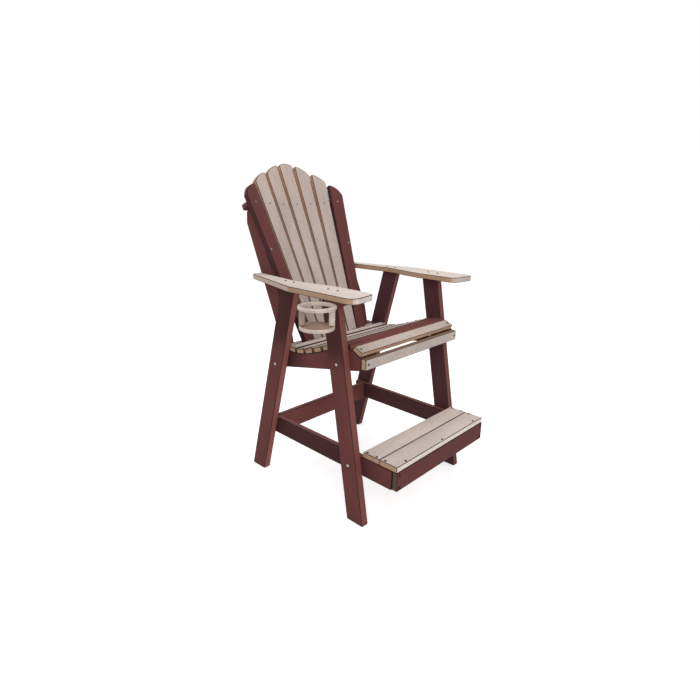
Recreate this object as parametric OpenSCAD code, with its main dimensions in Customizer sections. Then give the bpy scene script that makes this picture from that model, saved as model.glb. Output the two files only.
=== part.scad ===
// Balcony chair with a raised seat, fan back, footrest and side cup holder.
// Millimetres, Z up, the sitter looks along -Y, the floor is Z = 0.
// Depths named _y are measured back from the front edge of the footrest.
// Right and left are the sitter's own right (-X) and left (+X).

/* [Legs] */
// width of the frame over the outer faces of the legs
frame_w = 740; // [680:2:800]
// thickness of a leg, across the chair
leg_t = 36; // [30:1:42]
// width of a leg board, seen from the side
leg_w = 85; // [76:1:96]
// depth of the front leg's front edge at the floor
front_foot_y = 131; // [115:1:145]
// depth of the front leg's front edge at its top
front_top_y = 301; // [290:1:312]
// depth of the rear leg's front edge at the floor
rear_foot_y = 780; // [765:1:800]
// depth of the rear leg's front edge at its top
rear_top_y = 549; // [540:1:560]
// height of the bolt through front leg and seat side
seat_bolt_front_z = 666; // [664:1:676]
// height of the bolt through rear leg and seat side
seat_bolt_rear_z = 572; // [570:1:590]

/* [Arms] */
// height of the underside of the arms
arm_h = 939; // [900:1:980]
// thickness of an arm board
arm_t = 24; // [20:1:30]
// overhang of an arm beyond the outer face of the legs
arm_over = 63; // [50:1:80]
// width of an arm at its front third
arm_w = 150; // [135:1:165]
// depth of the front edge of the arms
arm_front_y = 160; // [145:1:175]
// depth of the rear end of the arms
arm_rear_y = 880; // [860:1:900]
// radius of the outer front corner of an arm
arm_corner_r = 38; // [24:1:42]
// radius of the inner front corner of an arm
arm_inner_r = 36; // [20:1:40]
// how much further back the inner front corner lies
arm_front_skew = 12; // [6:1:18]
// length of the straight outer edge before the taper
arm_straight = 359; // [330:1:380]
// width of the rear end of an arm
arm_tail_w = 50; // [42:1:60]
// clearance between the rear end of an arm and the upright
arm_tail_gap = 13; // [8:1:20]
// easing of the rear corners of an arm
arm_ease = 6; // [3:1:9]
// clearance between the arm and the upright where the arm is narrowest
arm_waist_gap = 41; // [34:1:48]
// depth where the inner edge reaches that inset
arm_waist_y = 620; // [600:1:640]
// length of the sweep from the broad front to the waist
arm_sweep = 260; // [220:1:280]
// distance of an arm screw from the outer edge of its leg
arm_screw_in = 11; // [9:1:16]
// distance between the two arm screws of a leg
arm_screw_pitch = 53; // [44:1:58]

/* [Seat] */
// clearance of a seat slat's end from the leg
seat_end_gap = 4; // [2:0.5:8]
// width of a seat slat
slat_w = 45; // [40:1:50]
// thickness of a seat slat
slat_t = 21; // [18:1:24]
// open gap between two seat slats
slat_gap = 13; // [9:1:17]
// thickness of a seat side rail
side_t = 41; // [34:1:44]
// depth of the middle of the dark front slat
front_slat_y = 277; // [270:1:284]
// height of the underside of the dark front slat
front_slat_z = 727; // [720:1:735]
// tilt of the rounded-down nose slat
nose_tilt = 27; // [22:1:32]
// height of the front board under the seat
apron_h = 45; // [38:1:52]
// thickness of the front board under the seat
apron_t = 24; // [20:1:27]
// height of the lower edge of the front board
apron_z = 661; // [650:1:668]
// depth of the front face of the front board
apron_y = 173; // [165:1:178]
// height of a seat side's lower edge at its front end
side_front_z = 654; // [646:1:658]
// height of a seat side's lower edge at its rear end
side_rear_z = 540; // [530:1:560]
// depth of the rear end of the seat sides
side_rear_y = 740; // [730:1:750]
// rise of a seat side behind the last slat
side_rise = 12; // [6:1:16]

/* [Back] */
// number of back slats on each side of the middle one
fan_side = 3; // [3]
// height where the lower reference arc of the back crosses the slats
fan_z = 657; // [650:1:665]
// height of the upper reference arc of the back
fan_top_z = 1283; // [1260:1:1300]
// depth of the middle slat's front face at the lower arc
fan_y = 663; // [658:1:668]
// depth of the middle slat's front face at the upper arc
fan_top_y = 950; // [940:1:960]
// radius of the hollow of the back, seen from above
fan_r = 1320; // [1200:10:1500]
// angle between neighbouring slats on the lower arc
fan_step = 2.69; // [2.65:0.01:2.8]
// angle between neighbouring slats on the upper arc
fan_top_step = 4.01; // [3.9:0.01:4.2]
// width of a back slat at the lower arc
back_w = 58; // [54:1:59]
// width of a back slat at the upper arc
back_top_w = 77; // [68:1:80]
// thickness of a back slat
back_t = 24; // [20:1:27]
// length of the middle slat above the lower arc
back_len = 903; // [880:1:930]
// rise of the crown on top of each back slat
crown = 10; // [8:1:14]
// extra drop of the two outermost corners
crown_extra = 12; // [6:1:16]
// how much shorter each slat is than its inner neighbour
slat_step = 16; // [12:1:20]
// growth of that step towards the outside
slat_step_more = 8.5; // [6:0.5:10]
// slope of the tops of the outer slats
crown_slope = 27; // [22:1:32]
// distance of the slat ends below the lower arc
back_foot = 20; // [16:1:24]

/* [Back frame] */
// thickness of the uprights behind the back
post_t = 24; // [20:1:28]
// width of the uprights
post_w = 82; // [74:1:90]
// distance of an upright's outer face beyond the outer slat's middle line
post_out = 3; // [0:1:6]
// depth of the plumb cut at the top of the uprights
post_cut_y = 999; // [985:1:1010]
// depth of the toe cut at the lower front of the uprights
post_toe = 21; // [12:1:26]
// length of that toe cut
post_toe_len = 96; // [80:1:120]
// thickness of both cross braces of the back
brace_t = 24; // [20:1:28]
// depth of the upper brace, front to rear
brace_d = 57; // [50:1:62]
// overhang of the upper brace beyond the uprights
brace_over = 36; // [30:1:42]
// distance of the upper brace's middle below the top of the middle slat
brace_drop = 218; // [214:1:234]
// radius of the rear corners of the upper brace
brace_r = 18; // [12:1:20]
// distance of the upright's screw below the upper brace's middle
post_screw_drop = 222; // [180:1:240]
// gap left where a brace or upright meets the slats
joint_gap = 0.3; // [0.2:0.1:0.6]

/* [Lower frame] */
// height of the lower side rails' underside
rail_z = 206; // [195:1:220]
// height of a lower side rail
rail_h = 82; // [76:1:90]
// thickness of a lower side rail
rail_t = 26; // [22:1:30]
// depth of the rear end of the lower rails
rail_rear_y = 786; // [775:1:800]
// depth of the rear cross rail's front face
cross_y = 718; // [700:1:735]
// thickness of the rear cross rail
cross_t = 24; // [20:1:28]
// height of the rear cross rail
cross_h = 92; // [84:1:100]
// height of the rear cross rail's underside
cross_z = 199; // [190:1:210]

/* [Footrest] */
// clearance of a footrest board's end from the leg
step_end_gap = 4; // [1:0.5:8]
// width of a footrest board
step_w = 85.5; // [80:0.5:88]
// thickness of a footrest board
step_t = 24; // [20:1:28]
// seam between the two footrest boards
step_seam = 2; // [1:0.5:5]
// thickness of the footrest's front face board
face_t = 24; // [20:1:27]
// how far that face board stands proud of the boards above
face_proud = 2.5; // [0:0.5:5]
// how much shorter it is than the boards, at each end
face_short = 2; // [0:0.5:8]
// distance of a footrest screw from the nearest long edge
step_screw_in = 20.5; // [16:0.5:26]
// distance of the rearmost screw from the rear edge
step_screw_rear = 16; // [12:0.5:20]
// distance of the outer front screws from the board's ends
step_edge_in = 68; // [50:1:90]
// distance of the face board's screws from its edges
face_screw_in = 14; // [10:1:20]

/* [Cup holder] */
// outside diameter of the cup ring
cup_od = 146; // [136:1:156]
// diameter of the opening for the cup
cup_bore = 112; // [100:1:120]
// thickness of the ring and of the cup holder's floor
cup_t = 14; // [12:1:18]
// easing of the rims of ring and floor
cup_ease = 2.5; // [1:0.5:4]
// free depth from the top of the ring to the floor
cup_depth = 77; // [70:1:90]
// diameter of the cup holder's floor
cup_floor_d = 134; // [128:1:142]
// distance of the cup's axis from the outer face of the legs
cup_off = 139; // [132:1:146]
// depth of the cup's axis
cup_y = 265; // [258:1:270]
// drop of the ring's top below the arm's underside
cup_drop = 3; // [1:0.5:6]
// width of the block between arm and ring
block_w = 42; // [36:1:46]
// height of that block
block_h = 24; // [22:1:28]
// how far the block reaches in from the outer face of the legs
block_lap = 25; // [15:1:34]
// how far the block's hollow end wraps the ring
block_hug = 9; // [5:1:12]
// distance of the first block screw from the outer face of the legs
cup_screw_in = 10; // [8:1:14]
// distance between the two block screws
cup_screw_pitch = 30; // [24:1:34]
// width of a post between ring and floor
cup_post_w = 23; // [18:1:24]
// thickness of a post between ring and floor
cup_post_t = 17; // [14:1:20]
// distance of a post's middle from the cup's axis
cup_post_r = 55.5; // [54:0.5:57]

/* [Fasteners] */
// diameter of a screw shank
screw_d = 5; // [4:0.5:6]
// diameter of a screw head
screw_head_d = 10; // [8:0.5:12]
// height of a screw head
screw_head_h = 2.5; // [2:0.5:3.5]
// clearance on the diameter of a screw hole
screw_clear = 0.4; // [0.2:0.1:0.8]
// how far a screw goes into the piece behind the outer board
screw_bite = 20; // [14:1:24]
// diameter of a frame bolt
bolt_d = 8; // [6:1:10]
// diameter of a bolt head
bolt_head_d = 13; // [12:1:18]
// height of a bolt head
bolt_head_h = 4; // [3:0.5:6]
// clearance on the diameter of a bolt hole
bolt_clear = 0.5; // [0.3:0.1:1]
// width of a nut across its flats
nut_w = 13; // [12:1:17]
// height of a nut
nut_h = 6.5; // [5:0.5:8]

/* [Hidden] */

$fn = 32;
BEIGE = [0.74, 0.67, 0.62];
BROWN = [0.43, 0.24, 0.22];
STEEL = [0.62, 0.64, 0.66];

// overall depth of the chair and the shifts that centre it on the origin
back_lean = atan2(fan_top_y - fan_y, fan_top_z - fan_z);
rear_y = fan_y + back_len * sin(back_lean) + back_t * cos(back_lean);
shift_y = -(rear_y - face_proud) / 2;
inner = frame_w / 2 - leg_t;
arm_reach = frame_w / 2 + arm_over;
seat_half = inner - seat_end_gap;
step_half = inner - step_end_gap;
face_half = step_half - face_short;
cup_x = frame_w / 2 + cup_off;
post_reach = fan_r * sin(fan_side * fan_top_step) + post_out;
brace_half = post_reach + brace_over;
shift_x = (cup_x + cup_od / 2 - arm_reach) / 2;
brace_s = back_len - brace_drop;
post_screw_s = brace_s - post_screw_drop;
arm_top = arm_h + arm_t;
hole_d = screw_d + screw_clear;
bolt_hole_d = bolt_d + bolt_clear;
rail_top = rail_z + rail_h;

// vector helpers
function unit(v) = v / norm(v);
function lerp(a, b, t) = a + (b - a) * t;

// depth of a leg's front edge at height z, and its level width
function front_leg_y(z) = lerp(front_foot_y, front_top_y, z / arm_h);
function rear_leg_y(z) = lerp(rear_foot_y, rear_top_y, z / arm_h);
front_dw = leg_w / cos(atan2(front_top_y - front_foot_y, arm_h));
rear_dw = leg_w / cos(atan2(rear_foot_y - rear_top_y, arm_h));

// a flat shape drawn in depth and height, stood up across the chair
module across(x0, t) {
    translate([x0, 0, 0])
        rotate([90, 0, 90])
            linear_extrude(height = t)
                children();
}

// mirrors a placed piece to the sitter's right
module to_right() {
    translate([2 * shift_x, 0, 0])
        mirror([1, 0, 0])
            children();
}

module place() {
    translate([shift_x, shift_y, 0])
        children();
}

// Seat line: the middle of each slat's underside, from the front slat to the rear
seat_tilt = [3, 18, 21.5, 21.5, 17, 9, -2];
pitch = slat_w + slat_gap;
function turn(i) = (seat_tilt[i - 1] + seat_tilt[i]) / 2;
function seat_y(i) = i == 0 ? front_slat_y : seat_y(i - 1) + pitch * cos(turn(i));
function seat_z(i) = i == 0 ? front_slat_z : seat_z(i - 1) - pitch * sin(turn(i));
nose_turn = 8;
nose_y = front_slat_y - (pitch - 4) * cos(nose_turn);
nose_z = front_slat_z - (pitch - 4) * sin(nose_turn);
// front and rear end of the flat that carries slat i
land = slat_w / 2 + 2;
function land_f(i) = [seat_y(i) - land * cos(seat_tilt[i]), seat_z(i) + land * sin(seat_tilt[i])];
function land_r(i) = [seat_y(i) + land * cos(seat_tilt[i]), seat_z(i) - land * sin(seat_tilt[i])];
nose_f = [nose_y - land * cos(nose_tilt), nose_z - land * sin(nose_tilt)];
nose_r = [nose_y + land * cos(nose_tilt), nose_z + land * sin(nose_tilt)];

// lower edge of the seat sides
side_front_y = apron_y + apron_t;
function side_low(y) = lerp(side_front_z, side_rear_z, (y - side_front_y) / (side_rear_y - side_front_y));

// Back: frame of each slat, i runs from -3 on the right to 3 on the left
function low_pt(i) = [fan_r * sin(i * fan_step), fan_y - fan_r * (1 - cos(i * fan_step)), fan_z];
function top_pt(i) = [fan_r * sin(i * fan_top_step),
    fan_top_y - fan_r * (1 - cos(i * fan_top_step)), fan_top_z];
function yaw(i) = -i * (fan_step + fan_top_step) / 2;
function dir(i) = unit(top_pt(i) - low_pt(i));
function side0(i) = [cos(yaw(i)), sin(yaw(i)), 0];
function side(i) = unit(side0(i) - (side0(i) * dir(i)) * dir(i));
function deep(i) = cross(dir(i), side(i));
ref_len = norm(top_pt(0) - low_pt(0));
function half_at(s) = (back_w + (back_top_w - back_w) * s / ref_len) / 2;
function slat_len(i) = back_len - slat_step_more * i * i - slat_step * abs(i);

module slat_frame(i) {
    m = low_pt(i);
    a = side(i);
    b = deep(i);
    c = dir(i);
    multmatrix([[a[0], b[0], c[0], m[0]], [a[1], b[1], c[1], m[1]], [a[2], b[2], c[2], m[2]], [0, 0, 0, 1]])
        children();
}

// the frame of the back as a whole follows the middle slat
module back_frame() {
    translate([0, fan_y, fan_z])
        rotate([-back_lean, 0, 0])
            children();
}

origin = [0, fan_y, fan_z];
up0 = [0, sin(back_lean), cos(back_lean)];
deep0 = [0, cos(back_lean), -sin(back_lean)];
// point of slat i's rear face, a across and at height h of the back frame
function rear_s(i, a, h) = (h - (low_pt(i) + side(i) * a + deep(i) * back_t - origin) * up0) / (dir(i) * up0);
function rear_pt(i, a, h) = low_pt(i) + side(i) * a + deep(i) * back_t + dir(i) * rear_s(i, a, h) - origin;
function rear_xn(i, a, h) = [rear_pt(i, a, h)[0], rear_pt(i, a, h) * deep0 + joint_gap];
// depth of the outer slat's rear face where the upright meets it
post_a = (post_reach - post_t - rear_pt(3, 0, brace_s)[0]) / side(3)[0];
post_n = rear_xn(3, post_a, brace_s)[1];
brace_low_s = brace_t / 2 - back_foot;

// front line of a brace at height h, from the middle out to the left
function half_line(h) = [for (i = [0 : fan_side], e = [-1, 1])
    if (!(i == 0 && e == -1)) rear_xn(i, e * half_at(h), h)];
function mirrored(p) = [for (k = [len(p) - 1 : -1 : 0]) [-p[k][0], p[k][1]]];

// Screws: axis along -Z of the child frame, head above z = 0
module screw(len) {
    cylinder(d = screw_head_d, h = screw_head_h);
    translate([0, 0, -len])
        cylinder(d = screw_d, h = len + 0.5);
}

module screw_hole(len) {
    translate([0, 0, -len - 1])
        cylinder(d = hole_d, h = len + 2);
}

// arm screws, as distance from the middle and depth
arm_screw_x = frame_w / 2 - leg_t / 2;
arm_screw_y = [front_top_y + arm_screw_in, front_top_y + arm_screw_in + arm_screw_pitch,
    rear_top_y + rear_dw - arm_screw_in - arm_screw_pitch, rear_top_y + rear_dw - arm_screw_in];
arm_screw_len = arm_t + screw_bite;

module arm_screw_spots() {
    for (y = arm_screw_y)
        translate([arm_screw_x, y, arm_top])
            children();
}

// frame bolts sit on the middle line of their leg: depth, height, and 1 for the lower rail
bolt_spots = [[front_leg_y(seat_bolt_front_z) + front_dw / 2, seat_bolt_front_z, 0],
    [rear_leg_y(seat_bolt_rear_z) + rear_dw / 2, seat_bolt_rear_z, 0],
    [front_leg_y(rail_z + rail_h / 2) + front_dw / 2, rail_z + rail_h / 2, 1]];
function bolt_grip(k) = leg_t + (bolt_spots[k][2] == 0 ? side_t : rail_t);

module bolt_axes() {
    for (k = [0 : 2])
        translate([frame_w / 2, bolt_spots[k][0], bolt_spots[k][1]])
            rotate([0, 90, 0])
                translate([0, 0, -bolt_grip(k) - 1])
                    cylinder(d = bolt_hole_d, h = bolt_grip(k) + 2);
}

module bolt(grip) {
    cylinder(d = bolt_head_d, h = bolt_head_h);
    translate([0, 0, -grip - nut_h - 3])
        cylinder(d = bolt_d, h = grip + nut_h + 3.5);
}

module nut(grip) {
    translate([0, 0, -grip - nut_h])
        difference() {
            cylinder(d = nut_w / cos(30), h = nut_h, $fn = 6);
            translate([0, 0, -1])
                cylinder(d = bolt_hole_d, h = nut_h + 2);
        }
}

module at_bolts() {
    for (k = [0 : 2])
        translate([frame_w / 2, bolt_spots[k][0], bolt_spots[k][1]])
            rotate([0, 90, 0])
                if ($children > 0)
                    children(bolt_spots[k][2]);
}

// Legs

module leg_front() {
    color(BROWN)
        place()
            difference() {
                across(inner, leg_t)
                    polygon([[front_foot_y, 0], [front_foot_y + front_dw, 0],
                        [front_top_y + front_dw, arm_h], [front_top_y, arm_h]]);
                bolt_axes();
                arm_screw_spots()
                    screw_hole(arm_screw_len);
            }
}

module leg_rear() {
    color(BROWN)
        place()
            difference() {
                across(inner, leg_t)
                    polygon([[rear_foot_y, 0], [rear_foot_y + rear_dw, 0],
                        [rear_top_y + rear_dw, arm_h], [rear_top_y, arm_h]]);
                bolt_axes();
                arm_screw_spots()
                    screw_hole(arm_screw_len);
            }
}

module leg_front_left() {
    leg_front();
}

module leg_front_right() {
    to_right()
        leg_front();
}

module leg_rear_left() {
    leg_rear();
}

module leg_rear_right() {
    to_right()
        leg_rear();
}

// Arms: broad in front, narrowed beside the back
arm_in = arm_reach - arm_w;
tail_in = post_reach + arm_tail_gap;
waist_in = post_reach + arm_waist_gap;
function sweep_in(t) = lerp(arm_in, waist_in, 3 * t * t - 2 * t * t * t);

// an arc of a corner, from angle a0 to a1
function arc(x, y, r, a0, a1) = [for (k = [0 : 6]) [x + r * cos(lerp(a0, a1, k / 6)), y + r * sin(lerp(a0, a1, k / 6))]];

// turn of the front edge, which touches both corner arcs
corner_run = [arm_w - arm_inner_r - arm_corner_r, arm_front_skew + arm_inner_r - arm_corner_r];
front_turn = atan2(corner_run[1], corner_run[0]) + asin((arm_corner_r - arm_inner_r) / norm(corner_run));

module arm_outline() {
    polygon(concat(
        arc(arm_in + arm_inner_r, arm_front_y + arm_front_skew + arm_inner_r, arm_inner_r, 180, 270 - front_turn),
        arc(arm_reach - arm_corner_r, arm_front_y + arm_corner_r, arm_corner_r, 270 - front_turn, 360),
        [[arm_reach, arm_front_y + arm_straight], [tail_in + arm_tail_w, arm_rear_y - arm_ease],
            [tail_in + arm_tail_w - arm_ease, arm_rear_y], [tail_in + arm_ease, arm_rear_y],
            [tail_in, arm_rear_y - arm_ease]],
        [for (k = [8 : -1 : 0]) [sweep_in(k / 8), arm_waist_y - arm_sweep * (1 - k / 8)]]));
}

module arm() {
    color(BEIGE)
        place()
            difference() {
                translate([0, 0, arm_h])
                    linear_extrude(height = arm_t)
                        arm_outline();
                arm_screw_spots()
                    screw_hole(arm_screw_len);
            }
}

module arm_left() {
    arm();
}

module arm_right() {
    difference() {
        to_right()
            arm();
        color(BEIGE)
            place()
                cup_screw_spots()
                    screw_hole(cup_screw_len);
    }
}

module arm_screws() {
    color(STEEL)
        place()
            for (s = [0, 1])
                mirror([s, 0, 0])
                    arm_screw_spots()
                        screw(arm_screw_len);
}

// Seat
seat_screw_x = inner - side_t / 2;
seat_screw_len = slat_t + screw_bite;

// children stand on the middle of slat i's upper face, z outward
module on_slat(i) {
    translate([0, seat_y(i), seat_z(i)])
        rotate([-seat_tilt[i], 0, 0])
            translate([0, 0, slat_t])
                children();
}

module on_nose() {
    translate([0, nose_y, nose_z])
        rotate([nose_tilt, 0, 0])
            translate([0, 0, slat_t])
                children();
}

apron_screw_z = apron_z + apron_h / 2;

module on_apron() {
    translate([0, apron_y, apron_screw_z])
        rotate([90, 0, 0])
            children();
}

module seat_screw_pair(len) {
    for (s = [-1, 1])
        translate([s * seat_screw_x, 0, 0])
            screw_hole(len);
}

module seat_holes() {
    for (i = [0 : 6])
        on_slat(i)
            seat_screw_pair(seat_screw_len);
    on_nose()
        seat_screw_pair(seat_screw_len);
    on_apron()
        seat_screw_pair(apron_t + screw_bite);
}

module seat_side() {
    color(BROWN)
        place()
            difference() {
                across(inner - side_t, side_t)
                    polygon(concat(
                        [[side_front_y, side_front_z], [side_front_y, nose_f[1]], nose_f, nose_r],
                        [for (i = [0 : 6], e = [0, 1]) e == 0 ? land_f(i) : land_r(i)],
                        [[land_r(6)[0] + side_rise, land_r(6)[1] + side_rise],
                            [side_rear_y, land_r(6)[1] + side_rise], [side_rear_y, side_rear_z]]));
                bolt_axes();
                seat_holes();
            }
}

module seat_side_left() {
    seat_side();
}

module seat_side_right() {
    to_right()
        seat_side();
}

module slat_board() {
    translate([-seat_half, -slat_w / 2, -slat_t])
        cube([2 * seat_half, slat_w, slat_t]);
}

module seat_slat(i, c) {
    color(c)
        place()
            on_slat(i)
                difference() {
                    slat_board();
                    seat_screw_pair(seat_screw_len);
                }
}

// slat 1 is the rearmost, slat 6 the one behind the dark front slat
module seat_slat_1() {
    seat_slat(6, BEIGE);
}

module seat_slat_2() {
    seat_slat(5, BEIGE);
}

module seat_slat_3() {
    seat_slat(4, BEIGE);
}

module seat_slat_4() {
    seat_slat(3, BEIGE);
}

module seat_slat_5() {
    seat_slat(2, BEIGE);
}

module seat_slat_6() {
    seat_slat(1, BEIGE);
}

module seat_slat_front() {
    seat_slat(0, BROWN);
}

module seat_slat_nose() {
    color(BEIGE)
        place()
            on_nose()
                difference() {
                    slat_board();
                    seat_screw_pair(seat_screw_len);
                }
}

module seat_apron() {
    color(BEIGE)
        place()
            difference() {
                translate([-seat_half, apron_y, apron_z])
                    cube([2 * seat_half, apron_t, apron_h]);
                on_apron()
                    seat_screw_pair(apron_t + screw_bite);
            }
}

module seat_screws() {
    color(STEEL)
        place()
            for (s = [-1, 1]) {
                for (i = [0 : 6])
                    on_slat(i)
                        translate([s * seat_screw_x, 0, 0])
                            screw(seat_screw_len);
                on_nose()
                    translate([s * seat_screw_x, 0, 0])
                        screw(seat_screw_len);
                on_apron()
                    translate([s * seat_screw_x, 0, 0])
                        screw(apron_t + screw_bite);
            }
}

// Back slats: s runs up the slat, the crown falls away to the outside
function top_s(i, x) = slat_len(i) - tan(crown_slope) * sign(i) * x * (i == 0 ? 0 : 1)
    - (crown + (abs(i) == fan_side && x * i > 0 ? crown_extra : 0)) * pow(abs(x) / half_at(slat_len(i)), 2.4);

function crown_pts(i) = [for (k = [6 : -1 : -6])
    let (x = half_at(slat_len(i)) * k / 6) [x, top_s(i, x)]];

back_screw_len = back_t + screw_bite;
// the screw of slat i that sits in a brace at height h
module at_brace(i, h) {
    slat_frame(i)
        translate([0, 0, rear_s(i, 0, h)])
            rotate([90, 0, 0])
                children();
}

// the screw of an outer slat that sits in the upright
post_screw_a = (post_reach - post_t / 2 - low_pt(3)[0] - dir(3)[0] * post_screw_s) / side(3)[0];

module at_post(i) {
    slat_frame(i)
        translate([sign(i) * post_screw_a, 0, post_screw_s])
            rotate([90, 0, 0])
                children();
}

module back_screw_holes() {
    for (i = [-fan_side : fan_side]) {
        at_brace(i, brace_s)
            screw_hole(back_screw_len);
        at_brace(i, brace_low_s)
            screw_hole(back_screw_len);
    }
    for (i = [-fan_side, fan_side])
        at_post(i)
            screw_hole(back_screw_len);
}

module back_slat(i, c) {
    color(c)
        place()
            difference() {
                slat_frame(i)
                    translate([0, back_t, 0])
                        rotate([90, 0, 0])
                            linear_extrude(height = back_t)
                                polygon(concat([[-half_at(-back_foot), -back_foot],
                                    [half_at(-back_foot), -back_foot]], crown_pts(i)));
                at_brace(i, brace_s)
                    screw_hole(back_screw_len);
                at_brace(i, brace_low_s)
                    screw_hole(back_screw_len);
                if (abs(i) == fan_side)
                    at_post(i)
                        screw_hole(back_screw_len);
            }
}

// slat 1 is the sitter's rightmost, slat 7 the leftmost
module back_slat_1() {
    back_slat(-3, BROWN);
}

module back_slat_2() {
    back_slat(-2, BEIGE);
}

module back_slat_3() {
    back_slat(-1, BEIGE);
}

module back_slat_4() {
    back_slat(0, BEIGE);
}

module back_slat_5() {
    back_slat(1, BEIGE);
}

module back_slat_6() {
    back_slat(2, BEIGE);
}

module back_slat_7() {
    back_slat(3, BROWN);
}

// Uprights between the two braces
post_low = brace_low_s + brace_t / 2;
post_high = brace_s - brace_t / 2;

module back_post() {
    color(BROWN)
        place()
            difference() {
                back_frame()
                    translate([post_reach - post_t, 0, 0])
                        rotate([90, 0, 90])
                            linear_extrude(height = post_t)
                                polygon([[post_n + post_toe, post_low], [post_n + post_w, post_low],
                                    [post_n + post_w, post_high], [post_n, post_high],
                                    [post_n, post_low + post_toe_len]]);
                translate([post_reach - 2 * post_t, post_cut_y, fan_z])
                    cube([3 * post_t, post_w, back_len]);
                back_screw_holes();
            }
}

module back_post_left() {
    back_post();
}

module back_post_right() {
    to_right()
        back_post();
}

// depth of the outer slat's rear face at x, for a brace at height h
function outer_n(h, x) = let (p = rear_xn(3, -half_at(h), h), q = rear_xn(3, half_at(h), h))
    lerp(p[1], q[1], (x - p[0]) / (q[0] - p[0]));
upper_line = concat([for (k = [0 : 5]) half_line(brace_s)[k]], [[brace_half, outer_n(brace_s, brace_half)]]);
lower_line = concat(half_line(brace_low_s), [[inner - side_t - joint_gap, post_n]]);

module back_brace_upper() {
    rear = [for (p = upper_line) [p[0], p[1] + brace_d]];
    n = len(rear) - 1;
    round_end = arc(brace_half - brace_r, rear[n][1] - brace_r, brace_r, 0, 90);
    left = concat(upper_line, round_end, [for (k = [n - 1 : -1 : 0]) rear[k]]);
    color(BROWN)
        place()
            difference() {
                back_frame()
                    translate([0, 0, brace_s - brace_t / 2])
                        linear_extrude(height = brace_t)
                            polygon(concat(left, mirrored(left)));
                back_screw_holes();
            }
}

module back_brace_lower() {
    n = len(lower_line) - 1;
    end = lower_line[n];
    left = concat(lower_line, [[end[0], end[1] + post_w]]);
    color(BEIGE)
        place()
            difference() {
                back_frame()
                    translate([0, 0, brace_low_s - brace_t / 2])
                        linear_extrude(height = brace_t)
                            polygon(concat(left, mirrored(left)));
                back_screw_holes();
            }
}

module back_screws() {
    color(STEEL)
        place() {
            for (i = [-fan_side : fan_side]) {
                at_brace(i, brace_s)
                    screw(back_screw_len);
                at_brace(i, brace_low_s)
                    screw(back_screw_len);
            }
            for (i = [-fan_side, fan_side])
                at_post(i)
                    screw(back_screw_len);
        }
}

// Lower frame
face_y = -face_proud;
rail_front_y = face_y + face_t;

// footrest screws, as distance from the middle and depth
step_screw_x = inner - rail_t / 2;
step_screw_y = [step_w - step_screw_in, step_w + step_seam + step_screw_in,
    2 * step_w + step_seam - step_screw_rear];
step_edge_x = [-step_half + step_edge_in, 0, step_half - step_edge_in];
step_screw_len = step_t + screw_bite;

module step_side_spots() {
    for (s = [-1, 1], y = step_screw_y)
        translate([s * step_screw_x, y, rail_top + step_t])
            children();
}

module step_edge_spots() {
    for (x = step_edge_x)
        translate([x, face_y + face_t / 2, rail_top + step_t])
            children();
}

face_screw_x = face_half - face_screw_in;
face_screw_z = [rail_z + face_screw_in, rail_top - face_screw_in];

module face_spots() {
    for (s = [-1, 1], z = face_screw_z)
        translate([s * face_screw_x, face_y, z])
            rotate([90, 0, 0])
                children();
}

module rail() {
    color(BROWN)
        place()
            difference() {
                across(inner - rail_t, rail_t)
                    polygon([[rail_front_y, rail_z], [rail_rear_y, rail_z],
                        [rail_rear_y, rail_top], [rail_front_y, rail_top]]);
                bolt_axes();
                step_side_spots()
                    screw_hole(step_screw_len);
                face_spots()
                    screw_hole(face_t + screw_bite);
            }
}

module rail_left() {
    rail();
}

module rail_right() {
    to_right()
        rail();
}

module rail_rear() {
    half = inner - rail_t - joint_gap;
    color(BROWN)
        place()
            translate([-half, cross_y, cross_z])
                cube([2 * half, cross_t, cross_h]);
}

// Footrest
module step_board(y) {
    color(BEIGE)
        place()
            difference() {
                translate([-step_half, y, rail_top])
                    cube([2 * step_half, step_w, step_t]);
                step_side_spots()
                    screw_hole(step_screw_len);
                step_edge_spots()
                    screw_hole(step_screw_len);
            }
}

module step_board_front() {
    step_board(0);
}

module step_board_rear() {
    step_board(step_w + step_seam);
}

module step_face() {
    color(BROWN)
        place()
            difference() {
                translate([-face_half, face_y, rail_z])
                    cube([2 * face_half, face_t, rail_h]);
                step_edge_spots()
                    screw_hole(step_screw_len);
                face_spots()
                    screw_hole(face_t + screw_bite);
            }
}

module step_screws() {
    color(STEEL)
        place() {
            step_side_spots()
                screw(step_screw_len);
            step_edge_spots()
                screw(step_screw_len);
            face_spots()
                screw(face_t + screw_bite);
        }
}

// Cup holder under the right arm
cup_turn = 45;
cup_top = arm_h - cup_drop;
cup_floor_z = cup_top - cup_depth;
block_z = arm_h - block_h;
block_in = frame_w / 2 - block_lap;
block_out = cup_x - cup_od / 2 + block_hug;
block_mid = front_leg_y(block_z) - block_w / 2;
cup_screw_len = block_h + arm_t * 3 / 4;
cup_screw_x = [frame_w / 2 + cup_screw_in, frame_w / 2 + cup_screw_in + cup_screw_pitch];

// the cup screws go up, so their frame hangs upside down
module cup_screw_spots() {
    for (x = cup_screw_x)
        translate([-x, block_mid, block_z])
            rotate([180, 0, 0])
                children();
}

module cup_ring() {
    color(BEIGE)
        place()
            translate([-cup_x, cup_y, cup_top - cup_t])
                difference() {
                    rounded_disk(cup_od);
                    translate([0, 0, -1])
                        cylinder(d = cup_bore, h = cup_t + 2, $fn = 72);
                }
}

// a disk with its rim eased above and below
module rounded_disk(d) {
    rotate_extrude($fn = 72)
        polygon([[0, 0], [d / 2 - cup_ease, 0], [d / 2, cup_ease], [d / 2, cup_t - cup_ease],
            [d / 2 - cup_ease, cup_t], [0, cup_t]]);
}

module cup_floor() {
    color(BEIGE)
        place()
            translate([-cup_x, cup_y, cup_floor_z - cup_t])
                rounded_disk(cup_floor_d);
}

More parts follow.
